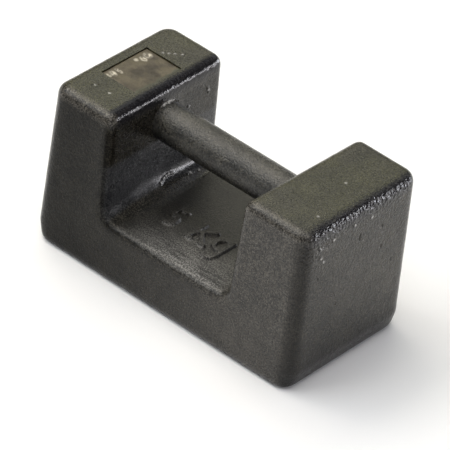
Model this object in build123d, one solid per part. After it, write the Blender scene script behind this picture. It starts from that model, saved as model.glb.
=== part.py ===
from build123d import *
import os
from math import atan2, degrees

# Rectangular bar weight, nominal 5 kg: one grey iron casting with a notch
# across it, a round steel grip bar cast into the two uprights, and an
# adjusting cavity in the -X upright closed by a steel plate and a lead seal.
# Millimetres. Origin at the centre of the base, +X along the length, +Z up.

# ---- casting, outside ----
LEN_BASE = 147.4      # length on the base plane
LEN_PARTING = 152.0   # length at the mould parting crease
LEN_TOP = 148.2       # length at the top of the uprights
WID_BASE = 77.4
WID_PARTING = 77.4
WID_TOP = 76.3
HEIGHT = 84.0
PARTING_Z = 9.5      # height of the crease where the draft changes side
CORNER_R = 7.0        # upright corner edges
BASE_EDGE_R = 3.8
TOP_EDGE_R = 5.0

# ---- notch through the casting along Y ----
FLOOR_Z = 30.0        # top of the bridge between the uprights
WALL_FLOOR_X = 36.8   # half width of the notch at the floor
WALL_TOP_X = 38.9     # half width of the notch at the top
# Hollow corners between floor and walls: (y, radius). They are tight at the
# long sides and fuller in the middle.
FLOOR_R = ((-60.0, 1.6), (-29.0, 6.4), (-20.0, 10.8), (-6.0, 12.2),
           (10.0, 10.4), (29.0, 6.4), (60.0, 1.6))
NOTCH_FLARE = 0.6     # half width gained at the back, lost at the front, per side
NOTCH_X = -0.8        # the notch sits a little towards the sealed upright
NOTCH_EDGE_R = 3.8    # rounded edges where the notch meets the long sides

# ---- grip bar ----
GRIP_D = 18.6
GRIP_Z = 66.3
GRIP_X0 = -45.6       # ends of the bar, about 6 mm inside each upright
GRIP_X1 = 43.0
LIP_R = 10.1          # cast lip round the bar where it enters the -X upright
LIP_H = 0.6

# ---- adjusting cavity, -X upright ----
SEAL_X = -55.8
SEAL_Y = -0.2
RECESS_L = 21.2       # along X
RECESS_W = 30.0       # along Y
SEAL_SINK = 0.9       # lead face below the top of the upright
SEAL_T = 1.8
PLATE_T = 2.0
CAVITY_L = 13.8
CAVITY_W = 24.0
CAVITY_DEPTH = 24.0
CAVITY_R = 4.0

# ---- adjusting shot ----
SHOT_D = 4.0
SHOT_PITCH = 4.3
SHOT_ROWS = (3, 5, 3)  # along X, along Y, layers

# ---- raised nominal value on the floor of the notch ----
MARK_RISE = 1.4
MARK_W = 2.6


def rounded_section(length, width, z):
    return Plane.XY.offset(z) * RectangleRounded(length, width, CORNER_R)


def notch_profile(widen, radius):
    # Trapezium in the XZ plane, open above the top of the uprights.
    over = 12.0
    slope = (WALL_TOP_X - WALL_FLOOR_X) / (HEIGHT - FLOOR_Z)
    x_over = WALL_TOP_X + widen + slope * over
    x_floor = WALL_FLOOR_X + widen
    pts = [
        (NOTCH_X - x_over, HEIGHT + over),
        (NOTCH_X - x_floor, FLOOR_Z),
        (NOTCH_X + x_floor, FLOOR_Z),
        (NOTCH_X + x_over, HEIGHT + over),
    ]
    face = make_face(Polyline(*pts, close=True))
    low = [v for v in face.vertices() if v.Y < FLOOR_Z + 1.0]
    return fillet(low, radius)


# ---------------------------------------------------------------- casting
section_0 = rounded_section(LEN_BASE, WID_BASE, 0.0)
section_1 = rounded_section(LEN_PARTING, WID_PARTING, PARTING_Z)
section_2 = rounded_section(LEN_TOP, WID_TOP, HEIGHT)
body = loft([section_0, section_1, section_2], ruled=True)

# The notch flares slightly from the front (-Y) to the back. The XZ planes
# used here have their normal along -Y.
sections = []
for y, radius in FLOOR_R:
    plane = Plane(origin=(0, y, 0), x_dir=(1, 0, 0), z_dir=(0, -1, 0))
    widen = NOTCH_FLARE * y / (WID_TOP / 2)
    sections.append(plane * notch_profile(widen, radius))
body = body - loft(sections, ruled=True)

top_edges = [
    e for e in body.edges()
    if e.bounding_box().min.Z > HEIGHT - 0.01
]
body = fillet(top_edges, TOP_EDGE_R)

# Long-side edges of the notch: floor line, hollow corners and walls.
notch_edges = []
for e in body.edges():
    bb = e.bounding_box()
    c = e.center()
    if abs(c.Y) < 30 or bb.max.Y - bb.min.Y > 3:
        continue
    if bb.min.Z < FLOOR_Z - 0.5 or bb.max.Z > HEIGHT - 0.5 * TOP_EDGE_R:
        continue
    if abs(c.X - NOTCH_X) > WALL_TOP_X + 2.0:
        continue
    notch_edges.append(e)
body = fillet(notch_edges, NOTCH_EDGE_R)

base_edges = [
    e for e in body.edges()
    if e.bounding_box().max.Z < 0.01
]
body = fillet(base_edges, BASE_EDGE_R)

# Cast lip on the -X wall round the bar.
lip = Plane(origin=(GRIP_X0 + 1.0, 0, GRIP_Z), x_dir=(0, 1, 0), z_dir=(1, 0, 0)) * Circle(LIP_R)
slope = (WALL_TOP_X - WALL_FLOOR_X) / (HEIGHT - FLOOR_Z)
wall_at_grip = NOTCH_X - WALL_FLOOR_X - slope * (GRIP_Z - FLOOR_Z)
lip_solid = extrude(lip, wall_at_grip + LIP_H - GRIP_X0 - 1.0)
body = body + lip_solid


# Raised "5 kg", plain block strokes of one width.
def stroke(*pts):
    out = None
    for a, b in zip(pts[:-1], pts[1:]):
        mid = ((a[0] + b[0]) / 2, (a[1] + b[1]) / 2)
        length = ((b[0] - a[0]) ** 2 + (b[1] - a[1]) ** 2) ** 0.5
        turn = degrees(atan2(b[1] - a[1], b[0] - a[0]))
        piece = Location((mid[0], mid[1], 0), (0, 0, turn)) * SlotCenterToCenter(length, MARK_W)
        out = piece if out is None else out + piece
    return out


mark_five = stroke(
    (-15.6, -6.1), (-19.4, -6.1), (-19.6, -10.9), (-17.6, -10.5),
    (-15.5, -12.0), (-15.1, -14.9), (-16.6, -17.7), (-19.3, -17.9),
)
mark_k = (
    stroke((-4.4, -6.0), (-4.4, -18.2))
    + stroke((2.9, -6.6), (-4.2, -13.1))
    + stroke((-1.7, -11.2), (3.4, -18.2))
)
mark_g = (
    stroke((12.8, -8.0), (9.4, -7.6), (7.1, -9.6), (6.8, -12.9),
           (8.6, -15.6), (12.6, -15.0))
    + stroke((13.0, -6.9), (13.0, -20.6), (10.8, -23.4), (7.4, -22.2))
)
for mark in (mark_five, mark_k, mark_g):
    body = body + extrude(Plane.XY.offset(FLOOR_Z - 0.5) * mark, 0.5 + MARK_RISE)

# Sockets that the bar is cast into.
bar_plane = Plane(origin=(GRIP_X0, 0, GRIP_Z), x_dir=(0, 1, 0), z_dir=(1, 0, 0))
bar_blank = extrude(bar_plane * Circle(GRIP_D / 2), GRIP_X1 - GRIP_X0)
body = body - bar_blank

# Stepped adjusting cavity.
recess_depth = SEAL_SINK + SEAL_T + PLATE_T
recess = Location((SEAL_X, SEAL_Y, HEIGHT - recess_depth / 2 + 2.0)) * Box(
    RECESS_L, RECESS_W, recess_depth + 4.0
)
cavity_top = HEIGHT - recess_depth
cavity = extrude(
    Plane.XY.offset(cavity_top - CAVITY_DEPTH)
    * (Location((SEAL_X, SEAL_Y)) * RectangleRounded(CAVITY_L, CAVITY_W, CAVITY_R)),
    CAVITY_DEPTH + 0.5,
)
body = body - recess - cavity

# --------------------------------------------------------------- grip bar
grip = bar_blank

# ------------------------------------------------------------ cover plate
plate = Location((SEAL_X, SEAL_Y, cavity_top + PLATE_T / 2)) * Box(
    RECESS_L, RECESS_W, PLATE_T
)

# -------------------------------------------------------------- lead seal
seal = Location((SEAL_X, SEAL_Y, cavity_top + PLATE_T + SEAL_T / 2)) * Box(
    RECESS_L, RECESS_W, SEAL_T
)

# ---------------------------------------------------------- adjusting shot
shots = []
nx, ny, nz = SHOT_ROWS
for k in range(nz):
    for j in range(ny):
        for i in range(nx):
            x = SEAL_X + (i - (nx - 1) / 2) * SHOT_PITCH
            y = SEAL_Y + (j - (ny - 1) / 2) * SHOT_PITCH
            # The corner balls stay clear of the cavity's rounded corners.
            if abs(i - (nx - 1) / 2) == (nx - 1) / 2 and abs(j - (ny - 1) / 2) == (ny - 1) / 2:
                continue
            z = cavity_top - CAVITY_DEPTH + SHOT_D / 2 + k * SHOT_PITCH
            shots.append(Location((x, y, z)) * Sphere(SHOT_D / 2))
shot = Compound(children=[Solid(s.solids()[0].wrapped) for s in shots])

os.makedirs("parts", exist_ok=True)
for name, shape in (
    ("body_casting", body),
    ("grip_bar", grip),
    ("cavity_cover_plate", plate),
    ("lead_seal", seal),
    ("adjusting_shot", shot),
):
    export_step(shape, f"parts/{name}.step")

iron = body.volume * 7.2e-6
steel = (grip.volume + plate.volume) * 7.85e-6
lead = (seal.volume + sum(s.volume for s in shot.solids())) * 11.34e-6
print("kg iron", round(iron, 3), "steel", round(steel, 3), "lead", round(lead, 3),
      "sum", round(iron + steel + lead, 3))
print("box", body.bounding_box())
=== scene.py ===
import math

import bmesh
import bpy
import numpy as np
from mathutils import Matrix, Vector


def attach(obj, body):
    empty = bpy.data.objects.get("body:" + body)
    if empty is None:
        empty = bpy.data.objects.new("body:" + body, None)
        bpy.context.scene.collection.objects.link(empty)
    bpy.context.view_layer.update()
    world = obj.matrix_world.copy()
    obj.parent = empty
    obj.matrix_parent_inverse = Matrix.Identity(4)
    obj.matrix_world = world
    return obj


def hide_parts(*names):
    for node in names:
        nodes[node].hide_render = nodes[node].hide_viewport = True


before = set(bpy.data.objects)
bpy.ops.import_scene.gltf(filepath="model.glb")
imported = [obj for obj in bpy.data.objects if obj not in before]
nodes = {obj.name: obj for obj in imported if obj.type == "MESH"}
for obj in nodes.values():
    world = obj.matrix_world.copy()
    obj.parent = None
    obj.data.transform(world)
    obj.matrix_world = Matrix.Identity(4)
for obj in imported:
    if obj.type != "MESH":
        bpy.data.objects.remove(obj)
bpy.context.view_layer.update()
MM = 0.001

# Dimensions repeated from the CAD source, in millimetres.
HEIGHT = 84.0
FLOOR_Z = 30.0
SEAL_X, SEAL_Y = -55.8, -0.2
RECESS_L, RECESS_W = 21.2, 30.0
SEAL_SINK, SEAL_T, PLATE_T = 0.9, 1.8, 2.0
CAVITY_L, CAVITY_W, CAVITY_DEPTH, CAVITY_R = 13.8, 24.0, 24.0, 4.0
GRIP_R, GRIP_Z, GRIP_X0, GRIP_X1 = 9.3, 66.3, -45.6, 43.0


# ------------------------------------------------------------ noise fields
class Noise:
    """Seeded gradient noise in three dimensions, for numpy arrays."""

    def __init__(self, seed):
        r = np.random.RandomState(seed)
        self.p = r.permutation(256)
        g = r.normal(size=(256, 3))
        self.g = g / np.linalg.norm(g, axis=1, keepdims=True)

    def __call__(self, v, size):
        q = v / size
        c = np.floor(q).astype(np.int64)
        f = q - c
        w = f * f * f * (f * (f * 6 - 15) + 10)
        out = np.zeros(len(q))
        for i in (0, 1):
            for j in (0, 1):
                for k in (0, 1):
                    h = self.p[(self.p[(self.p[(c[:, 0] + i) & 255] + c[:, 1] + j) & 255] + c[:, 2] + k) & 255]
                    d = np.einsum("ij,ij->i", self.g[h], f - np.array([i, j, k]))
                    wx = w[:, 0] if i else 1 - w[:, 0]
                    wy = w[:, 1] if j else 1 - w[:, 1]
                    wz = w[:, 2] if k else 1 - w[:, 2]
                    out += d * wx * wy * wz
        return out


def smoothstep(a, b, x):
    t = np.clip((x - a) / (b - a), 0, 1)
    return t * t * (3 - 2 * t)


# ------------------------------------------------------------ mesh helpers
def coords(me):
    v = np.empty(len(me.vertices) * 3, np.float32)
    me.vertices.foreach_get("co", v)
    return v.reshape(-1, 3).astype(float) * 1000.0


def set_coords(me, v):
    me.vertices.foreach_set("co", (v / 1000.0).astype(np.float32).ravel())
    me.update()


def normals(me):
    n = np.empty(len(me.vertices) * 3, np.float32)
    me.vertex_normals.foreach_get("vector", n)
    return n.reshape(-1, 3).astype(float)


def edges_of(me):
    e = np.empty(len(me.edges) * 2, np.int32)
    me.edges.foreach_get("vertices", e)
    return e.reshape(-1, 2)


def relax(v, e, steps, amount=0.5):
    n = np.bincount(e.ravel(), minlength=len(v)).astype(float)
    for _ in range(steps):
        s = np.zeros_like(v)
        for a in range(3):
            s[:, a] = np.bincount(e[:, 0], v[e[:, 1], a], len(v)) + np.bincount(e[:, 1], v[e[:, 0], a], len(v))
        v = v + amount * (s / n[:, None] - v)
    return v


def mesh_object(name, verts, faces, smooth=True):
    me = bpy.data.meshes.new(name)
    me.from_pydata([tuple(p) for p in np.asarray(verts) * MM], [], [tuple(int(i) for i in f) for f in faces])
    me.update()
    ob = bpy.data.objects.new(name, me)
    bpy.context.scene.collection.objects.link(ob)
    if smooth:
        me.polygons.foreach_set("use_smooth", [True] * len(me.polygons))
    return ob


def apply_modifiers(ob):
    dg = bpy.context.evaluated_depsgraph_get()
    me = bpy.data.meshes.new_from_object(ob.evaluated_get(dg))
    old = ob.data
    ob.modifiers.clear()
    ob.data = me
    bpy.data.meshes.remove(old)
    return me


def shade(me, angle=32.0):
    me.polygons.foreach_set("use_smooth", [True] * len(me.polygons))
    bm = bmesh.new()
    bm.from_mesh(me)
    lim = math.radians(angle)
    for e in bm.edges:
        e.smooth = len(e.link_faces) != 2 or e.calc_face_angle(0) < lim
    bm.to_mesh(me)
    bm.free()


def refine(me, inside, cuts):
    """Divides the faces whose centres are inside, a function of an array of points in millimetres."""
    bm = bmesh.new()
    bm.from_mesh(me)
    bm.faces.ensure_lookup_table()
    c = np.array([f.calc_center_median() for f in bm.faces]) * 1000.0
    keep = inside(c)
    faces = [bm.faces[i] for i in np.nonzero(keep)[0]]
    edges = list({e for f in faces for e in f.edges})
    bmesh.ops.subdivide_edges(bm, edges=edges, cuts=cuts, use_grid_fill=True)
    bm.to_mesh(me)
    bm.free()


def polyline_distance(p, lines):
    """Distance of each (x, y) from the nearest of some polylines."""
    best = np.full(len(p), 1e9)
    for line in lines:
        for a, b in zip(line[:-1], line[1:]):
            a, b = np.array(a), np.array(b)
            ab = b - a
            t = np.clip(((p - a) @ ab) / (ab @ ab), 0, 1)
            best = np.minimum(best, np.linalg.norm(p - a - t[:, None] * ab, axis=1))
    return best


def prism(outline, z0, z1, ref=None):
    """Closed solid over a closed outline of (x, y), from z0 to z1, in millimetres."""
    n = len(outline)
    v = [(x, y, z0) for x, y in outline] + [(x, y, z1) for x, y in outline]
    f = [tuple(reversed(range(n))), tuple(range(n, 2 * n))]
    f += [(i, (i + 1) % n, n + (i + 1) % n, n + i) for i in range(n)]
    return v, f


# The raised value mark, the CAD source's strokes with softer corners.
MARKS = (
    ((-15.4, -5.3), (-19.5, -5.3), (-19.7, -10.7), (-17.9, -10.5), (-16.2, -11.3), (-15.2, -13.0),
     (-15.2, -15.2), (-16.2, -17.2), (-17.8, -18.0), (-19.5, -17.6)),
    ((-4.4, -6.0), (-4.4, -18.2)),
    ((2.9, -6.6), (-4.2, -13.1)),
    ((-1.7, -11.2), (3.4, -18.2)),
    ((-5.6, -18.2), (-2.8, -18.2)),
    ((2.2, -18.2), (4.6, -18.2)),
    ((12.8, -8.4), (11.2, -7.6), (9.4, -7.6), (7.6, -8.8), (6.8, -10.8), (6.8, -12.9), (7.7, -14.9),
     (9.4, -15.7), (11.2, -15.6), (12.8, -14.6)),
    ((13.0, -6.9), (13.0, -20.2), (12.2, -22.3), (10.6, -23.4), (8.8, -23.2), (7.3, -21.8)),
)
MARK_W, MARK_RISE = 2.6, 1.4


# Small casting flaws: a path in millimetres, half width, height along the surface normal.
FLAWS = (
    (((74.6, -0.3, 68.6), (74.6, -0.7, 66.0)), 0.50, -0.42),
    (((74.8, -27.3, 57.9), (74.8, -27.3, 57.2)), 0.60, -0.35),
    (((74.8, 15.8, 55.6), (74.8, 15.6, 54.2)), 0.50, -0.35),
    (((74.6, 14.8, 67.0), (74.6, 14.8, 66.0)), 0.50, -0.32),
    (((74.4, -28.2, 73.6), (74.4, -26.6, 73.4)), 0.90, 0.26),
    (((74.5, -27.4, 68.9), (74.5, -26.0, 68.2)), 0.90, 0.27),
    (((74.5, -25.0, 66.0), (74.5, -24.2, 65.6)), 0.75, 0.22),
    (((74.4, -19.6, 74.6), (74.4, -18.4, 75.0)), 0.90, 0.22),
    (((74.3, -5.8, 75.7), (74.3, -4.6, 75.9)), 0.83, 0.26),
    (((74.4, 6.0, 74.8), (74.4, 6.6, 74.9)), 0.75, 0.21),
    (((74.9, 24.0, 44.5), (74.9, 24.4, 43.2)), 0.50, -0.28),
    (((75.1, -12.0, 38.0), (75.1, -12.3, 36.8)), 0.50, -0.28),
    (((-39.5, 27.9, 70.8), (-39.4, 28.4, 69.6), (-39.4, 28.8, 68.2)), 0.83, 0.41),
    (((-39.3, 15.3, 66.5), (-39.3, 15.6, 66.3)), 0.83, 0.38),
    (((-35.3, -2.7, 34.3), (-36.0, -0.6, 35.1), (-36.6, 1.4, 35.7), (-36.8, 3.2, 36.0), (-36.7, 5.2, 35.7), (-36.6, 7.1, 35.2)), 0.68, 0.34),
    (((-34.6, 15.0, 32.0), (-34.5, 17.0, 31.7), (-34.4, 18.9, 31.4)), 0.68, 0.30),
    (((-34.0, 22.2, 30.9), (-33.9, 22.9, 30.8)), 0.68, 0.26),
    (((-62.6, -26.0, 84.0), (-61.6, -24.2, 84.0), (-60.0, -23.5, 84.0)), 0.52, 0.18),
    (((-53.2, -24.3, 84.0), (-52.8, -24.2, 84.0)), 0.60, 0.20),
    (((-67.5, -35.3, 82.6), (-67.1, -35.4, 82.6)), 0.60, 0.20),
    (((-59.0, 17.0, 84.0), (-58.6, 17.4, 84.0)), 0.60, 0.20),
    (((-57.0, 19.0, 84.0), (-56.6, 19.2, 84.0)), 0.60, 0.20),
    (((-55.0, 20.6, 84.0), (-54.2, 21.0, 84.0)), 0.68, 0.21),
    (((-52.6, 22.6, 84.0), (-51.8, 23.2, 84.0)), 0.68, 0.20),
    (((58.0, 6.0, 84.0), (58.3, 6.3, 84.0)), 0.60, 0.17),
    (((66.0, -22.0, 84.0), (66.3, -21.8, 84.0)), 0.60, 0.17),
)


def segment_distance(p, path):
    best = np.full(len(p), 1e9)
    for a, b in zip(path[:-1], path[1:]):
        a, b = np.array(a), np.array(b)
        ab = b - a
        t = np.clip(((p - a) @ ab) / (ab @ ab), 0, 1)
        best = np.minimum(best, np.linalg.norm(p - a - t[:, None] * ab, axis=1))
    return best


# ------------------------------------------------------------- casting
def rounded_rect(cx, cy, lx, ly, r, step=0.8):
    pts = []
    for sx, sy, a0 in ((1, 1, 0), (-1, 1, 90), (-1, -1, 180), (1, -1, 270)):
        ox, oy = cx + sx * (lx / 2 - r), cy + sy * (ly / 2 - r)
        k = 1 if r < 0.05 else 8
        for i in range(k + 1 if k > 1 else 1):
            a = math.radians(a0 + (90 * i / k if k > 1 else 45))
            rr = r if k > 1 else 0.0
            pts.append((ox + rr * math.cos(a), oy + rr * math.sin(a)))
    out = []
    for a, b in zip(pts, pts[1:] + pts[:1]):
        d = math.dist(a, b)
        m = max(1, int(round(d / step)))
        out += [(a[0] + (b[0] - a[0]) * i / m, a[1] + (b[1] - a[1]) * i / m) for i in range(m)]
    return out


def build_casting():
    src = nodes["body_casting"]
    bm = bmesh.new()
    bm.from_mesh(src.data)
    # Fill the recess, the cavity and the bar sockets before the remesh. They are cut again below.
    def add(v, f):
        vs = [bm.verts.new([c * MM for c in p]) for p in v]
        for q in f:
            bm.faces.new([vs[i] for i in q])
    add(*prism(rounded_rect(SEAL_X, SEAL_Y, RECESS_L + 0.6, RECESS_W + 0.6, 0.0, 50), HEIGHT - 30, HEIGHT))
    for x0, x1 in ((GRIP_X0 - 0.5, -37.6), (37.2, GRIP_X1 + 0.5)):
        n = 64
        ring = [(GRIP_R + 0.25) * math.cos(2 * math.pi * i / n) for i in range(n)]
        rinz = [(GRIP_R + 0.25) * math.sin(2 * math.pi * i / n) + GRIP_Z for i in range(n)]
        v = [(x0, y, z) for y, z in zip(ring, rinz)] + [(x1, y, z) for y, z in zip(ring, rinz)]
        f = [tuple(reversed(range(n))), tuple(range(n, 2 * n))]
        f += [(i, (i + 1) % n, n + (i + 1) % n, n + i) for i in range(n)]
        add(v, f)
    bmesh.ops.remove_doubles(bm, verts=bm.verts[:], dist=1e-6)
    bmesh.ops.recalc_face_normals(bm, faces=bm.faces[:])
    me = bpy.data.meshes.new("casting_skin")
    bm.to_mesh(me)
    bm.free()
    ob = bpy.data.objects.new("casting_skin", me)
    bpy.context.scene.collection.objects.link(ob)
    m = ob.modifiers.new("remesh", "REMESH")
    m.mode = "VOXEL"
    m.voxel_size = 1.0 * MM
    m.adaptivity = 0.0
    me = apply_modifiers(ob)
    v = coords(me)
    e = edges_of(me)
    v = relax(v, e, 3)
    # The lips round the bar are lowered to a paint line.
    rr = np.hypot(v[:, 1], v[:, 2] - GRIP_Z)
    for side in (-1, 1):
        wall = side * (36.8 + (v[:, 2] - 30.0) * 2.1 / 54.0) - 0.8
        lip = np.clip((12.5 - rr) / 2.2, 0, 1) * (np.abs(v[:, 0] - wall) < 1.3)
        lip = lip * lip * (3 - 2 * lip)
        v[:, 0] += 0.78 * lip * (wall - v[:, 0])
    # The mark is taken off the coarse skin and put back on a finer one.
    near = polyline_distance(v[:, :2], MARKS)
    flat = (near < MARK_W / 2 + 2.5) & (v[:, 2] > FLOOR_Z - 0.4) & (v[:, 2] < FLOOR_Z + MARK_RISE + 0.6)
    v[flat, 2] = FLOOR_Z
    set_coords(me, v)
    refine(me, lambda c: (polyline_distance(c[:, :2], MARKS) < MARK_W / 2 + 1.2)
           & (c[:, 2] > FLOOR_Z - 0.5) & (c[:, 2] < FLOOR_Z + 0.5), 2)
    for cuts, grow in ((1, 1.7), (1, 0.9)):
        refine(me, lambda c: np.min([segment_distance(c, q) - w for q, w, h in FLAWS], axis=0) < grow, cuts)
    v = coords(me)
    n = normals(me)

    big, mid, fine = Noise(11), Noise(12), Noise(13)
    d = 0.10 * big(v, 17.0) + 0.07 * mid(v, 5.0) + 0.05 * fine(v, 2.2)
    near = polyline_distance(v[:, :2] + 0.12 * np.c_[fine(v + 9, 1.6), fine(v + 27, 1.6)], MARKS)
    on_floor = (v[:, 2] > FLOOR_Z - 0.5) & (v[:, 2] < FLOOR_Z + 0.5)
    rise = MARK_RISE * (1 - smoothstep(MARK_W / 2 - 0.55, MARK_W / 2 + 0.15, near)) * (0.94 + 0.3 * mid(v, 3.0))
    v = v + n * d[:, None]
    v[:, 2] += np.where(on_floor, rise, 0)
    jig = 0.14 * np.c_[fine(v + 60, 1.1), fine(v + 75, 1.1), fine(v + 90, 1.1)]
    for path, w, h in FLAWS:
        v = v + n * (h * (1 - smoothstep(0.15 * w, 1.5 * w, segment_distance(v + jig, path))))[:, None]
    v[:, 2] = np.maximum(v[:, 2], 0.0)
    set_coords(me, v)

    cut_casting(ob)
    return ob


def bead(x, r0, thick, seed, tilt):
    """An uneven ring of iron and paint hugging the bar where it enters a wall."""
    wob = Noise(seed)
    na, nb = 120, 12
    v, f = [], []
    for i in range(na):
        a = 2 * math.pi * i / na
        q = np.array([[math.cos(a) * 9, math.sin(a) * 9, 0.0]])
        t = thick * (0.75 + 0.8 * float(wob(q, 4.0)[0])) * (0.42 + 0.58 * max(math.sin(a), 0.0))
        for j in range(nb):
            b = 2 * math.pi * j / nb
            r = r0 + t * math.cos(b)
            v.append((x + tilt * r * math.sin(a) + t * math.sin(b), r * math.cos(a), GRIP_Z + r * math.sin(a)))
    for i in range(na):
        for j in range(nb):
            k, l = (i + 1) % na, (j + 1) % nb
            f.append((i * nb + j, i * nb + l, k * nb + l, k * nb + j))
    return v, f


def cut_casting(ob):
    rng = np.random.RandomState(5)
    top = HEIGHT - SEAL_SINK - SEAL_T - PLATE_T
    rec = rounded_rect(SEAL_X, SEAL_Y, RECESS_L, RECESS_W, 0.0, 0.8)
    wob = Noise(21)
    pts = np.array([(x, y, 0.0) for x, y in rec])
    off = np.c_[wob(pts, 4.0), wob(pts + 50, 4.0)] * 0.25
    rec = [(x + a, y + b) for (x, y), (a, b) in zip(rec, off)]
    cav = rounded_rect(SEAL_X, SEAL_Y, CAVITY_L, CAVITY_W, CAVITY_R, 2.0)
    parts = [prism(rec, top, HEIGHT + 3.0), prism(cav, top - CAVITY_DEPTH, top + 0.5)]
    n = 72
    ring = [(GRIP_R + 0.04) * math.cos(2 * math.pi * i / n) for i in range(n)]
    rinz = [(GRIP_R + 0.04) * math.sin(2 * math.pi * i / n) + GRIP_Z for i in range(n)]
    v = [(GRIP_X0, y, z) for y, z in zip(ring, rinz)] + [(GRIP_X1, y, z) for y, z in zip(ring, rinz)]
    f = [tuple(reversed(range(n))), tuple(range(n, 2 * n))]
    f += [(i, (i + 1) % n, n + (i + 1) % n, n + i) for i in range(n)]
    parts.append((v, f))
    for i, (v, f) in enumerate(parts):
        cutter = mesh_object("cutter", v, f, smooth=False)
        bm = bmesh.new()
        bm.from_mesh(cutter.data)
        bmesh.ops.recalc_face_normals(bm, faces=bm.faces[:])
        bm.to_mesh(cutter.data)
        bm.free()
        m = ob.modifiers.new("cut", "BOOLEAN")
        m.operation = "DIFFERENCE"
        m.solver = "EXACT"
        m.object = cutter
        apply_modifiers(ob)
        bpy.data.objects.remove(cutter)
    bm = bmesh.new()
    bm.from_mesh(ob.data)
    for v, f in (bead(-38.96, 9.42, 0.34, 51, -0.0389), bead(37.36, 9.42, 0.34, 52, 0.0389)):
        vs = [bm.verts.new([c * MM for c in p]) for p in v]
        for q in f:
            bm.faces.new([vs[i] for i in q])
    bmesh.ops.recalc_face_normals(bm, faces=bm.faces[:])
    bm.to_mesh(ob.data)
    bm.free()
    shade(ob.data)


casting = build_casting()
print("casting faces", len(casting.data.polygons), "tris", sum(len(p.vertices) - 2 for p in casting.data.polygons))


# ------------------------------------------------------------- grip bar
def build_grip():
    around, along = 96, (150)
    wob, fine = Noise(31), Noise(32)
    xs = np.linspace(GRIP_X0, GRIP_X1, along)
    a = np.linspace(0, 2 * math.pi, around, endpoint=False)
    X, A = np.meshgrid(xs, a, indexing="ij")
    p = np.stack([X, np.cos(A), np.sin(A)], -1).reshape(-1, 3)
    q = p * np.array([1, GRIP_R, GRIP_R])
    r = GRIP_R + 0.05 * wob(q, 9.0) + 0.05 * fine(q, 2.5)
    inside = (smoothstep(-41.0, -38.0, p[:, 0]) * (1 - smoothstep(36.5, 39.0, p[:, 0])))
    r = GRIP_R - 0.02 + (r - GRIP_R) * inside
    v = np.c_[p[:, 0], p[:, 1] * r, p[:, 2] * r + GRIP_Z]
    f = []
    for i in range(along - 1):
        for j in range(around):
            k = (j + 1) % around
            f.append((i * around + j, i * around + k, (i + 1) * around + k, (i + 1) * around + j))
    f.append(tuple(reversed(range(around))))
    f.append(tuple((along - 1) * around + j for j in range(around)))
    ob = mesh_object("grip_bar_skin", v, f)
    bm = bmesh.new()
    bm.from_mesh(ob.data)
    bmesh.ops.recalc_face_normals(bm, faces=bm.faces[:])
    bm.to_mesh(ob.data)
    bm.free()
    shade(ob.data, 50)
    return ob


grip = build_grip()


# ------------------------------------------------------------- lead seal
def build_seal():
    nx, ny = 61, 85
    x0, x1 = SEAL_X - RECESS_L / 2 + 0.12, SEAL_X + RECESS_L / 2 - 0.08
    y0, y1 = SEAL_Y - RECESS_W / 2 + 0.1, SEAL_Y + RECESS_W / 2 - 0.12
    xs, ys = np.linspace(x0, x1, nx), np.linspace(y0, y1, ny)
    X, Y = np.meshgrid(xs, ys, indexing="ij")
    P = np.c_[X.ravel(), Y.ravel(), np.zeros(nx * ny)]
    a, b = Noise(41), Noise(42)
    z = HEIGHT - 0.50 + 0.14 * a(P, 8.0) + 0.07 * b(P, 2.5)
    edge = np.minimum.reduce([P[:, 0] - x0, x1 - P[:, 0], P[:, 1] - y0, y1 - P[:, 1]])
    z -= 0.22 * (1 - smoothstep(0, 0.6, edge))
    # Dents of a plain round-nosed punch.
    for cx, cy, rx, ry, dep in PUNCHES:
        q = ((P[:, 0] - cx) / rx) ** 2 + ((P[:, 1] - cy) / ry) ** 2
        z -= dep * np.exp(-q * 1.4)
    top = np.c_[P[:, :2], z]
    zb = HEIGHT - SEAL_SINK - SEAL_T
    bot = np.c_[P[:, :2], np.full(nx * ny, zb)]
    v = np.vstack([top, bot])
    f = []
    o = nx * ny
    for i in range(nx - 1):
        for j in range(ny - 1):
            k = i * ny + j
            f.append((k, k + ny, k + ny + 1, k + 1))
    rim = [i * ny for i in range(nx)] + [(nx - 1) * ny + j for j in range(1, ny)] \
        + [i * ny + ny - 1 for i in range(nx - 2, -1, -1)] + [j for j in range(ny - 2, 0, -1)]
    m = len(rim)
    for i in range(m):
        k, l = rim[i], rim[(i + 1) % m]
        f.append((l, k, o + k, o + l))
    f.append(tuple(o + k for k in rim))
    ob = mesh_object("lead_seal_skin", v, f)
    bm = bmesh.new()
    bm.from_mesh(ob.data)
    loose = [w for w in bm.verts if not w.link_faces]
    bmesh.ops.delete(bm, geom=loose, context="VERTS")
    bmesh.ops.recalc_face_normals(bm, faces=bm.faces[:])
    bm.to_mesh(ob.data)
    bm.free()
    shade(ob.data, 50)
    return ob


PUNCHES = [
    (-62.2, 11.0, 1.9, 1.6, 0.35),
    (-61.6, 7.4, 1.7, 1.2, 0.30),
    (-63.2, 4.4, 1.0, 1.0, 0.15),
    (-62.4, -8.0, 1.8, 0.9, 0.25),
    (-62.8, -11.4, 1.8, 1.2, 0.30),
    (-63.0, -14.0, 1.3, 0.9, 0.20),
]
seal = build_seal()


# ------------------------------------------------------------- materials
def material(name):
    m = bpy.data.materials.new(name)
    m.use_nodes = True
    t = m.node_tree
    t.nodes.clear()
    out = t.nodes.new("ShaderNodeOutputMaterial")
    b = t.nodes.new("ShaderNodeBsdfPrincipled")
    t.links.new(b.outputs[0], out.inputs[0])
    return m, t, b


def n_noise(t, co, scale, detail=3.0, rough=0.55):
    n = t.nodes.new("ShaderNodeTexNoise")
    n.inputs["Scale"].default_value = scale
    n.inputs["Detail"].default_value = detail
    n.inputs["Roughness"].default_value = rough
    t.links.new(co, n.inputs["Vector"])
    return n.outputs["Fac"]


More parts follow.
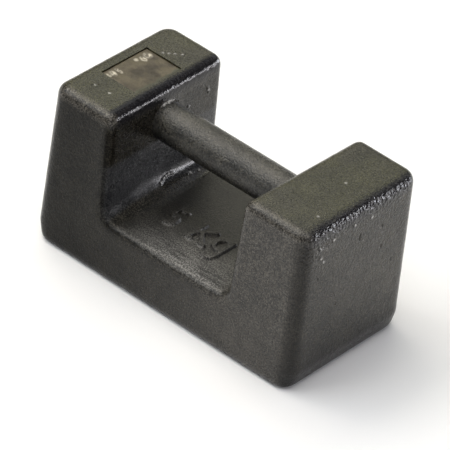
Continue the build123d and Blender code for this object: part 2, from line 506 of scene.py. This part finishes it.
def n_ramp(t, fac, stops):
    r = t.nodes.new("ShaderNodeValToRGB")
    e = r.color_ramp.elements
    while len(e) < len(stops):
        e.new(0.5)
    for el, (p, c) in zip(e, stops):
        el.position = p
        el.color = (*c, 1) if len(c) == 3 else c
    t.links.new(fac, r.inputs[0])
    return r.outputs[0]


def n_map(t, fac, a, b, c, d):
    r = t.nodes.new("ShaderNodeMapRange")
    for k, x in zip(("From Min", "From Max", "To Min", "To Max"), (a, b, c, d)):
        r.inputs[k].default_value = x
    t.links.new(fac, r.inputs["Value"])
    return r.outputs[0]


def n_bump(t, height, strength, dist, normal=None):
    b = t.nodes.new("ShaderNodeBump")
    b.inputs["Strength"].default_value = strength
    b.inputs["Distance"].default_value = dist
    t.links.new(height, b.inputs["Height"])
    if normal is not None:
        t.links.new(normal, b.inputs["Normal"])
    return b.outputs[0]


def n_math(t, op, a, b):
    n = t.nodes.new("ShaderNodeMath")
    n.operation = op
    for i, x in enumerate((a, b)):
        if isinstance(x, (int, float)):
            n.inputs[i].default_value = x
        else:
            t.links.new(x, n.inputs[i])
    return n.outputs[0]


def obj_co(t):
    return t.nodes.new("ShaderNodeTexCoord").outputs["Object"]


def n_cells(t, co, scale, smooth=0.6, feature="SMOOTH_F1"):
    n = t.nodes.new("ShaderNodeTexVoronoi")
    n.feature = feature
    n.inputs["Scale"].default_value = scale
    if "Smoothness" in n.inputs and feature == "SMOOTH_F1":
        n.inputs["Smoothness"].default_value = smooth
    t.links.new(co, n.inputs["Vector"])
    return n.outputs["Distance"]


def n_abs(t, a):
    return n_math(t, "ABSOLUTE", a, 0.0)


def n_lerp(t, fac, a, b):
    """Colour a at fac 0 and b at fac 1. Each may be a socket or three numbers."""
    n = t.nodes.new("ShaderNodeMix")
    n.data_type = "RGBA"
    t.links.new(fac, n.inputs["Factor"])
    for sock, x in ((n.inputs[6], a), (n.inputs[7], b)):
        if isinstance(x, tuple):
            sock.default_value = (*x, 1)
        else:
            t.links.new(x, sock)
    return n.outputs[2]


def n_near(t, co, points, r0, r1):
    """1 within r0 of any of the points, 0 beyond r1, in millimetres."""
    best = None
    for p in points:
        n = t.nodes.new("ShaderNodeVectorMath")
        n.operation = "DISTANCE"
        n.inputs[1].default_value = tuple(c * MM for c in p)
        t.links.new(co, n.inputs[0])
        d = n.outputs["Value"]
        best = d if best is None else n_math(t, "MINIMUM", best, d)
    return n_map(t, best, r0 * MM, r1 * MM, 1, 0)


def iron_material():
    m, t, b = material("cast_iron_black_lacquer")
    co = obj_co(t)
    sp = t.nodes.new("ShaderNodeSeparateXYZ")
    t.links.new(co, sp.inputs[0])
    X, Y, Z = sp.outputs

    # Where: the floor of the notch, the glossy top edges and wall foot, the pebbled strip.
    floor = n_math(t, "MULTIPLY", n_map(t, Z, 0.0340, 0.0315, 0, 1),
                   n_math(t, "MULTIPLY", n_map(t, n_abs(t, X), 0.037, 0.026, 0, 1),
                          n_map(t, n_abs(t, Y), 0.0385, 0.036, 0, 1)))
    dust_and_painted_light = n_math(t, "MULTIPLY", floor, n_math(t, "MULTIPLY", n_map(t, Y, -0.006, -0.032, 0, 1), n_map(t, X, -0.034, -0.004, 0.14, 1)))
    right_edge = n_map(t, X, 0.0695, 0.0720, 0, 1)
    left_edge = n_map(t, n_abs(t, n_math(t, "ADD", X, 0.0392)), 0.0052, 0.0038, 0, 1)
    top_edge = n_math(t, "MULTIPLY", n_map(t, Z, 0.0760, 0.0790, 0, 1), n_math(t, "MAXIMUM", right_edge, left_edge))
    top_edge = n_math(t, "MULTIPLY", top_edge, n_map(t, Y, -0.0370, -0.0352, 0.15, 1))
    foot = n_math(t, "MULTIPLY", n_map(t, Z, 0.0460, 0.0400, 0, 1), n_map(t, n_abs(t, n_math(t, "ADD", X, 0.0350)), 0.0055, 0.0040, 0, 1))
    inside = n_math(t, "MULTIPLY", n_map(t, n_abs(t, Y), 0.0385, 0.0365, 0, 1), n_map(t, Z, 0.0280, 0.0295, 0, 1))
    foot = n_math(t, "MULTIPLY", foot, inside)
    dull = n_math(t, "MULTIPLY", foot, n_map(t, Y, -0.007, 0.003, 1.0, 0.0))
    foot = n_math(t, "MULTIPLY", foot, n_map(t, Y, -0.007, 0.003, 0.25, 0.95))
    # Mask for the painted light on the left notch wall below the bar's shadow edge.
    low = n_math(t, "MULTIPLY", n_math(t, "MULTIPLY", left_edge, inside), n_map(t, Z, 0.0586, 0.0566, 0, 0.72))
    gloss = n_math(t, "MAXIMUM", top_edge, foot)
    line = n_math(t, "ADD", Z, n_map(t, Y, -0.010, -0.036, 0.0, 0.009))
    strip = n_math(t, "MULTIPLY", n_map(t, line, 0.0735, 0.0790, 0, 1), n_map(t, Z, 0.0840, 0.0825, 0.1, 1))
    pebbled = n_math(t, "MULTIPLY", strip, n_math(t, "MAXIMUM", right_edge, n_math(t, "MULTIPLY", left_edge, 0.22)))
    coarse = n_math(t, "MULTIPLY", n_map(t, Z, 0.040, 0.074, 0.15, 1), right_edge)

    # Colour: brown black, olive on top, a fine grain, painted light to the right of the front and painted shade to its
    # left, a floor lighter toward the front from dust and painted light.
    cloud = n_noise(t, co, 30.0, 3)
    grain = n_noise(t, co, 1500.0, 2, 0.7)
    mix = n_math(t, "ADD", n_math(t, "MULTIPLY", n_noise(t, co, 110.0, 3), 0.17), n_math(t, "MULTIPLY", grain, 0.83))
    # Rubbed streaks along the floor.
    sk = t.nodes.new("ShaderNodeCombineXYZ")
    t.links.new(n_math(t, "MULTIPLY", X, 0.16), sk.inputs[0])
    t.links.new(Y, sk.inputs[1])
    t.links.new(Z, sk.inputs[2])
    streak = n_math(t, "MULTIPLY", n_math(t, "SUBTRACT", n_noise(t, sk.outputs[0], 620.0, 2, 0.6), 0.5), n_math(t, "MULTIPLY", dust_and_painted_light, 0.32))
    mix = n_math(t, "ADD", mix, streak)
    brown = n_ramp(t, mix, [(0.40, (0.0020, 0.0018, 0.0016)), (0.50, (0.0128, 0.0113, 0.0095)), (0.60, (0.056, 0.0495, 0.041))])
    olive = n_ramp(t, mix, [(0.40, (0.0022, 0.0022, 0.0010)), (0.50, (0.0142, 0.0140, 0.0054)), (0.60, (0.056, 0.055, 0.024))])
    high = n_math(t, "MULTIPLY", n_map(t, Z, 0.0790, 0.0825, 0.20, 1.0), n_map(t, top_edge, 0, 1, 1, 0))
    col = n_lerp(t, n_math(t, "MULTIPLY", n_map(t, cloud, 0.36, 0.52, 0.45, 1), high), brown, olive)
    # Painted reflection: a dark bluish band painted along the rounded top edges.
    col = n_lerp(t, n_math(t, "MULTIPLY", top_edge, 0.75), col, (0.0060, 0.0060, 0.0088))
    # Painted light and shade: the front face is painted lighter and warmer toward the right and darker toward the left.
    front = n_map(t, Y, -0.0364, -0.0380, 0, 1)
    tan = n_ramp(t, mix, [(0.41, (0.0062, 0.0056, 0.0050)), (0.50, (0.0315, 0.0284, 0.0240)), (0.59, (0.088, 0.080, 0.068))])
    col = n_lerp(t, n_math(t, "MULTIPLY", front, n_map(t, X, -0.030, 0.045, 0, 0.85)), col, tan)
    shade_left = n_math(t, "MULTIPLY", front, n_map(t, X, 0.030, -0.055, 0, 0.76))
    col = n_lerp(t, shade_left, col, n_ramp(t, mix, [(0.41, (0.0012, 0.0011, 0.0010)), (0.50, (0.0028, 0.0026, 0.0022)), (0.59, (0.0100, 0.0092, 0.0078))]))
    # Painted highlight: a lighter band painted along the rounded front top edge.
    front_top = n_math(t, "MULTIPLY", n_math(t, "MULTIPLY", n_map(t, Z, 0.0775, 0.0800, 0, 1), n_map(t, Z, 0.0838, 0.0828, 0.2, 1)), n_map(t, Y, -0.0320, -0.0345, 0, 1))
    front_bevel_highlight = n_ramp(t, mix, [(0.41, (0.011, 0.0102, 0.0090)), (0.50, (0.045, 0.0415, 0.0355)), (0.59, (0.118, 0.109, 0.095))])
    col = n_lerp(t, n_math(t, "MULTIPLY", front_top, 0.88), col, front_bevel_highlight)
    # Painted shade: the rounded front right corner is painted darker below the top edge.
    corner = n_math(t, "MULTIPLY", n_math(t, "MULTIPLY", n_map(t, X, 0.0675, 0.0705, 0, 1), n_map(t, Y, -0.0320, -0.0350, 0, 1)), n_map(t, Z, 0.080, 0.076, 0, 1))
    col = n_lerp(t, n_math(t, "MULTIPLY", corner, 0.50), col, (0.0060, 0.0054, 0.0046))
    # Painted shade: a darker strip painted along the front vertical edge of the left notch wall.
    wall = n_math(t, "ADD", n_math(t, "ADD", X, 0.0376), n_math(t, "MULTIPLY", n_math(t, "SUBTRACT", Z, 0.030), 0.0389))
    arris = n_math(t, "MULTIPLY", n_math(t, "MULTIPLY", n_map(t, n_abs(t, n_math(t, "ADD", wall, 0.0003)), 0.0022, 0.0005, 0, 0.95), n_map(t, Y, -0.0325, -0.0348, 0, 1)),
                   n_math(t, "MULTIPLY", n_map(t, Z, 0.0340, 0.0380, 0, 1), n_map(t, Z, 0.0790, 0.0760, 0, 1)))
    col = n_lerp(t, n_math(t, "MULTIPLY", arris, 0.30), col, (0.0042, 0.0038, 0.0034))
    # Painted shade: the foot of the right end face is painted darker toward the floor.
    base = n_math(t, "MULTIPLY", right_edge, n_map(t, Z, 0.030, 0.003, 0, 0.70))
    col = n_lerp(t, base, col, (0.0050, 0.0048, 0.0052))
    # Partly dust and partly painted light: the floor of the notch is painted lighter and greyer toward the front.
    grey = n_ramp(t, mix, [(0.41, (0.016, 0.016, 0.0160)), (0.50, (0.092, 0.091, 0.088)), (0.59, (0.25, 0.246, 0.240))])
    col = n_lerp(t, n_math(t, "MULTIPLY", dust_and_painted_light, 0.79), col, grey)
    # Painted light: the left notch wall below the bar's shadow edge is painted lighter and bluish.
    col = n_lerp(t, low, col, n_ramp(t, mix, [(0.38, (0.010, 0.0105, 0.0120)), (0.50, (0.029, 0.0305, 0.0340)), (0.62, (0.066, 0.068, 0.073))]))
    # Painted shade: the floor of the notch is painted darker toward the back, under the bar and between the walls.
    col = n_lerp(t, n_math(t, "MULTIPLY", floor, n_map(t, dust_and_painted_light, 0, 1, 0.30, 0)), col, (0.0060, 0.0058, 0.0052))
    # Painted glints: bright spots painted on the raised flaws.
    spots = [tuple(sum(q[k] for q in path) / len(path) for k in range(3)) for path, w, h in FLAWS if h > 0 and len(path) < 4]
    spots += [(-35.5, -2.0, 34.6), (-36.3, 0.4, 35.4), (-36.7, 2.2, 35.9), (-36.8, 4.2, 35.9), (-36.6, 6.6, 35.3)]
    painted_glint = n_near(t, co, spots, 0.35, 0.95)
    # Painted glints: bright spots painted along the edges of the raised figures.
    mark_glint_points = [(-14.2, -5.0, 30.9), (-14.8, -4.0, 30.6), (-16.4, -6.5, 30.9), (-17.8, -6.6, 30.8), (-18.4, -11.9, 30.7), (-17.4, -12.2, 30.7),
              (-18.6, -19.1, 30.5), (-17.8, -19.2, 30.5), (-17.0, -19.0, 30.5), (-16.2, -18.7, 30.5), (-15.5, -18.2, 30.5), (-14.8, -17.5, 30.5),
              (-14.3, -16.6, 30.5), (-4.6, -19.4, 30.5), (-3.8, -19.4, 30.5), (-3.0, -19.4, 30.5), (-2.2, -19.2, 30.5), (-1.5, -18.6, 30.5),
              (1.8, -19.3, 30.5), (2.6, -19.5, 30.5), (3.4, -19.6, 30.5), (4.2, -19.6, 30.5), (4.9, -19.5, 30.5), (-1.6, -14.4, 30.8),
              (-1.0, -15.3, 30.7), (12.2, -9.9, 30.7), (11.2, -9.2, 30.7), (7.0, -22.6, 30.8), (7.5, -23.8, 30.6), (8.4, -24.5, 30.6), (9.4, -24.8, 30.5)]
    mark_glint = n_math(t, "MULTIPLY", n_near(t, co, mark_glint_points, 0.25, 0.95), 0.26)
    painted_glint = n_math(t, "MAXIMUM", painted_glint, mark_glint)
    # Painted highlight: a thin bright arc painted over the bar where it leaves the left wall.
    rise = n_math(t, "SUBTRACT", Z, GRIP_Z * MM)
    rad = n_math(t, "POWER", n_math(t, "ADD", n_math(t, "MULTIPLY", Y, Y), n_math(t, "MULTIPLY", rise, rise)), 0.5)
    bar_arc_highlight = n_math(t, "MULTIPLY", n_map(t, n_abs(t, n_math(t, "SUBTRACT", rad, 0.0098)), 0.00055, 0.00020, 0, 1),
                 n_math(t, "MULTIPLY", n_map(t, n_abs(t, n_math(t, "ADD", X, 0.0390)), 0.0020, 0.0014, 0, 1), n_map(t, rise, 0.0086, 0.0094, 0, 0.95)))
    painted_glint = n_math(t, "MULTIPLY", n_math(t, "MAXIMUM", painted_glint, bar_arc_highlight), n_map(t, n_noise(t, co, 1500.0, 1), 0.40, 0.56, 0.2, 1))
    painted_glint = n_math(t, "MULTIPLY", painted_glint, n_map(t, Z, 0.0832, 0.0838, 1.0, 0.65))
    # The painted glints and highlight are coloured a light grey.
    col = n_lerp(t, painted_glint, col, (0.52, 0.51, 0.49))
    t.links.new(col, b.inputs["Base Color"])
    rough = n_map(t, n_noise(t, co, 700.0, 3), 0.3, 0.7, 0.16, 0.34)
    rough = n_math(t, "ADD", rough, n_math(t, "MULTIPLY", floor, 0.16))
    rough = n_math(t, "MULTIPLY", rough, n_map(t, gloss, 0, 1, 1, 0.62))
    rough = n_math(t, "MULTIPLY", rough, n_map(t, foot, 0, 1, 1, 0.72))
    rough = n_math(t, "ADD", rough, n_math(t, "MULTIPLY", dull, 0.14))
    t.links.new(rough, b.inputs["Roughness"])
    b.inputs["IOR"].default_value = 1.5
    level = n_math(t, "ADD", n_math(t, "MULTIPLY", n_math(t, "MULTIPLY", front, n_map(t, X, 0.055, -0.055, -0.04, 0.24)), -1.0), 0.38)
    level = n_math(t, "ADD", level, n_math(t, "MULTIPLY", n_math(t, "MAXIMUM", base, n_math(t, "MULTIPLY", corner, 0.5)), -0.20))
    upper = n_math(t, "MULTIPLY", n_math(t, "MULTIPLY", left_edge, inside), n_math(t, "MULTIPLY", n_map(t, Z, 0.0566, 0.0590, 0, 1), n_map(t, Z, 0.0765, 0.0735, 0, 1)))
    level = n_math(t, "MAXIMUM", n_math(t, "ADD", level, n_math(t, "ADD", n_math(t, "MULTIPLY", arris, -0.26), n_math(t, "MULTIPLY", upper, -0.10))), 0.04)
    level = n_math(t, "ADD", level, n_math(t, "ADD", n_math(t, "MULTIPLY", dull, -0.19), n_math(t, "MULTIPLY", foot, -0.08)))
    t.links.new(level, b.inputs["Specular IOR Level"])

    # Relief: fine grain, cast skin, and pebbles where the mould was rough.
    calm = n_map(t, gloss, 0, 1, 1, 0.45)
    n1 = n_bump(t, n_math(t, "MULTIPLY", n_noise(t, co, 1300.0, 2, 0.6), calm), 1.0, 0.00020)
    n2 = n_bump(t, n_math(t, "MULTIPLY", n_noise(t, co, 480.0, 2, 0.5), calm), 1.0, 0.00015, n1)
    cells = n_math(t, "MULTIPLY", n_cells(t, co, 620.0, 0.45), pebbled)
    n3 = n_bump(t, cells, 1.0, 0.00062, n2)
    skin = n_math(t, "MULTIPLY", n_noise(t, co, 900.0, 2, 0.5), coarse)
    n4 = n_bump(t, skin, 1.0, 0.00042, n3)
    t.links.new(n4, b.inputs["Normal"])
    return m


def grip_material():
    m, t, b = material("bar_worn_black_lacquer")
    co = obj_co(t)
    big = n_noise(t, co, 90.0, 3)
    grain = n_noise(t, co, 1500.0, 2, 0.7)
    mix = n_math(t, "ADD", n_math(t, "MULTIPLY", big, 0.35), n_math(t, "MULTIPLY", grain, 0.65))
    col = n_ramp(t, mix, [(0.41, (0.0022, 0.0021, 0.0019)), (0.50, (0.0108, 0.0103, 0.0087)), (0.59, (0.062, 0.058, 0.047))])
    # Painted shade: the underside is painted darker and made less glossy.
    sp = t.nodes.new("ShaderNodeSeparateXYZ")
    t.links.new(co, sp.inputs[0])
    underside_painted_shade = n_map(t, sp.outputs[2], (GRIP_Z + 2.0) * MM, (GRIP_Z - 4.5) * MM, 0, 1)
    col = n_lerp(t, n_math(t, "MULTIPLY", underside_painted_shade, 0.62), col, (0.0040, 0.0040, 0.0040))
    t.links.new(col, b.inputs["Base Color"])
    t.links.new(n_map(t, n_noise(t, co, 260.0, 3), 0.3, 0.7, 0.22, 0.35), b.inputs["Roughness"])
    b.inputs["IOR"].default_value = 1.5
    t.links.new(n_map(t, underside_painted_shade, 0, 1, 0.60, 0.28), b.inputs["Specular IOR Level"])
    n1 = n_bump(t, n_noise(t, co, 1250.0, 2, 0.6), 1.0, 0.00040)
    t.links.new(n1, b.inputs["Normal"])
    return m


def lead_material():
    m, t, b = material("tarnished_lead")
    co = obj_co(t)
    sp = t.nodes.new("ShaderNodeSeparateXYZ")
    t.links.new(co, sp.inputs[0])
    X, Y, Z = sp.outputs
    big = n_noise(t, co, 160.0, 4)
    col = n_ramp(t, big, [(0.38, (0.029, 0.0212, 0.0112)), (0.60, (0.087, 0.0705, 0.0415))])
    # Bright bare metal where a punch struck, broken up by noise.
    spots = None
    for cx, cy, rx, ry, dep in PUNCHES:
        dx = n_math(t, "DIVIDE", n_math(t, "SUBTRACT", X, cx * MM), rx * MM)
        dy = n_math(t, "DIVIDE", n_math(t, "SUBTRACT", Y, cy * MM), ry * MM)
        q = n_math(t, "ADD", n_math(t, "MULTIPLY", dx, dx), n_math(t, "MULTIPLY", dy, dy))
        q = n_map(t, q, 2.2, 0.2, 0, min(1.0, 0.35 + 2.2 * dep))
        spots = q if spots is None else n_math(t, "MAXIMUM", spots, q)
    broken = n_math(t, "MULTIPLY", spots, n_map(t, n_noise(t, co, 750.0, 2), 0.40, 0.58, 0.12, 1.0))
    # Lacquer smeared over the edge next to the notch.
    smear = n_map(t, n_math(t, "ADD", n_map(t, X, -0.0490, -0.0455, 0, 1), n_noise(t, co, 260.0, 3)), 1.02, 1.12, 0, 1)
    col = n_lerp(t, broken, col, (0.62, 0.58, 0.50))
    col = n_lerp(t, smear, col, (0.045, 0.046, 0.026))
    t.links.new(col, b.inputs["Base Color"])
    t.links.new(broken, b.inputs["Metallic"])
    t.links.new(n_map(t, n_noise(t, co, 500.0, 3), 0.3, 0.7, 0.42, 0.58), b.inputs["Roughness"])
    n1 = n_bump(t, n_noise(t, co, 900.0, 3, 0.6), 1.0, 0.00018)
    t.links.new(n_bump(t, n_noise(t, co, 260.0, 2, 0.5), 1.0, 0.0003, n1), b.inputs["Normal"])
    return m


def steel_material():
    m, t, b = material("mild_steel_plate")
    co = obj_co(t)
    t.links.new(n_ramp(t, n_noise(t, co, 200.0, 3), [(0.3, (0.38, 0.37, 0.35)), (0.7, (0.5, 0.49, 0.47))]), b.inputs["Base Color"])
    b.inputs["Metallic"].default_value = 1.0
    b.inputs["Roughness"].default_value = 0.42
    return m


def shot_material():
    m, t, b = material("dull_lead_shot")
    co = obj_co(t)
    t.links.new(n_ramp(t, n_noise(t, co, 300.0, 3), [(0.3, (0.20, 0.205, 0.21)), (0.7, (0.34, 0.345, 0.35))]), b.inputs["Base Color"])
    b.inputs["Metallic"].default_value = 0.9
    b.inputs["Roughness"].default_value = 0.55
    return m


IRON, GRIP, LEAD, STEEL, SHOT = iron_material(), grip_material(), lead_material(), steel_material(), shot_material()


def wear(ob, m):
    ob.data.materials.clear()
    ob.data.materials.append(m)


def wear_node(ob, m):
    for s in ob.material_slots:
        s.link = "OBJECT"
        s.material = m


for ob, m, node, s in ((casting, IRON, "body_casting", "iron"), (grip, GRIP, "grip_bar", "grip"), (seal, LEAD, "lead_seal", "lead")):
    wear(ob, m)
    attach(ob, "root")
    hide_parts(node)
wear_node(nodes["cavity_cover_plate"], STEEL)
wear_node(nodes["adjusting_shot"], SHOT)
wear_node(nodes["body_casting"], IRON)
wear_node(nodes["grip_bar"], GRIP)
wear_node(nodes["lead_seal"], LEAD)


# ------------------------------------------------------------- stage
def floor_plane():
    s = 6000.0
    ob = mesh_object("studio_floor", [(-s, -s, 0), (s, -s, 0), (s, s, 0), (-s, s, 0)], [(0, 1, 2, 3)], smooth=False)
    m, t, b = material("pale_floor")
    b.inputs["Base Color"].default_value = (0.950, 0.962, 0.985, 1)
    b.inputs["Roughness"].default_value = 0.9
    b.inputs["Specular IOR Level"].default_value = 0.1
    wear(ob, m)
    return ob


floor_plane()


def area(name, direction, dist, sx, sy, radiance, color=(1, 1, 1), target=(0, 0, 0.0)):
    d = bpy.data.lights.new(name, "AREA")
    d.shape = "RECTANGLE"
    d.size, d.size_y = sx, sy
    d.energy = radiance * math.pi * sx * sy
    d.color = color
    ob = bpy.data.objects.new(name, d)
    bpy.context.scene.collection.objects.link(ob)
    v = Vector(direction).normalized()
    ob.location = Vector(target) + v * dist
    ob.rotation_euler = (-v).to_track_quat("-Z", "Y").to_euler()
    return ob


def softbox(name, azimuth, elevation, sx, sy, radiance, color=(1, 1, 1), dist=1.4):
    a, e = math.radians(azimuth), math.radians(elevation)
    return area(name, (math.cos(e) * math.cos(a), math.cos(e) * math.sin(a), math.sin(e)), dist, sx, sy, radiance, color)


softbox("key_left", 180, 60, 0.75, 0.55, 5.2, (1.0, 0.92, 0.80))
softbox("key_front_left", 225, 60, 1.0, 0.75, 2.7, (1.0, 0.99, 0.94))
softbox("front_high", 270, 60, 0.8, 0.6, 0.54, (1.0, 0.97, 0.93))
softbox("front_right_high", 315, 60, 0.8, 0.6, 1.4, (1.0, 0.96, 0.98))
softbox("back_left_high", 120, 60, 0.8, 0.6, 1.0, (0.88, 0.92, 0.90))
softbox("top", 0, 88, 0.8, 0.8, 2.0, (1.0, 0.98, 0.92))
softbox("fill_front_left", 225, 36, 0.9, 0.45, 2.3, (0.92, 0.96, 1.0))
softbox("fill_front_right", 315, 36, 0.9, 0.45, 1.3, (1.0, 0.98, 1.0))
softbox("back_left", 135, 36, 0.9, 0.45, 2.3, (1.0, 0.97, 0.80))
softbox("back", 90, 36, 0.9, 0.45, 0.9, (0.94, 0.95, 1.0))
softbox("low_back_left", 135, 6.5, 0.9, 0.2, 0.6, (1.0, 0.9, 0.6))
softbox("low_front_right", 315, 18, 0.8, 0.3, 0.3)
softbox("near_front_right", 318, 8, 0.12, 0.10, 1.4, (1.0, 0.98, 0.94), 0.36)
softbox("window", 43, 3.4, 0.5, 0.15, 15.5, (0.97, 0.94, 0.98))
softbox("window_right", 22, 3.6, 0.5, 0.16, 7.2, (1.0, 0.94, 0.93))
softbox("window_left", 66, 3.4, 0.55, 0.16, 24.0, (0.92, 0.94, 1.0))

world = bpy.data.worlds.new("studio")
bpy.context.scene.world = world
world.use_nodes = True
t = world.node_tree
t.nodes.clear()
wo = t.nodes.new("ShaderNodeOutputWorld")
bg = t.nodes.new("ShaderNodeBackground")
tc = t.nodes.new("ShaderNodeTexCoord")
sx = t.nodes.new("ShaderNodeSeparateXYZ")
t.links.new(tc.outputs["Generated"], sx.inputs[0])
t.links.new(n_ramp(t, sx.outputs[2], [(0.0, (0.30, 0.30, 0.29)), (0.05, (0.10, 0.10, 0.10)), (1.0, (0.06, 0.06, 0.06))]), bg.inputs[0])
t.links.new(bg.outputs[0], wo.inputs[0])
bg.inputs[1].default_value = 1.0

# ------------------------------------------------------------- camera
CAM_R = ((0.74429646, 0.65820209, 0.11310517),
         (0.4625235, -0.38585318, -0.7982414),
         (-0.48176217, 0.64644205, -0.59162309))
cam_data = bpy.data.cameras.new("camera")
cam = bpy.data.objects.new("camera", cam_data)
bpy.context.scene.collection.objects.link(cam)
right, down, fwd = (Vector(r) for r in CAM_R)
rot = Matrix((right, -down, -fwd)).transposed()
cam.matrix_world = Matrix.Translation((1.0515309636, -1.40907344133, 1.32098831996)) @ rot.to_4x4()
cam_data.sensor_width = 36.0
cam_data.sensor_fit = "HORIZONTAL"
cam_data.lens = 394.347
cam_data.clip_start, cam_data.clip_end = 0.05, 50.0
bpy.context.scene.camera = cam
bpy.context.scene.view_settings.view_transform = "Standard"
bpy.context.scene.view_settings.look = "None"
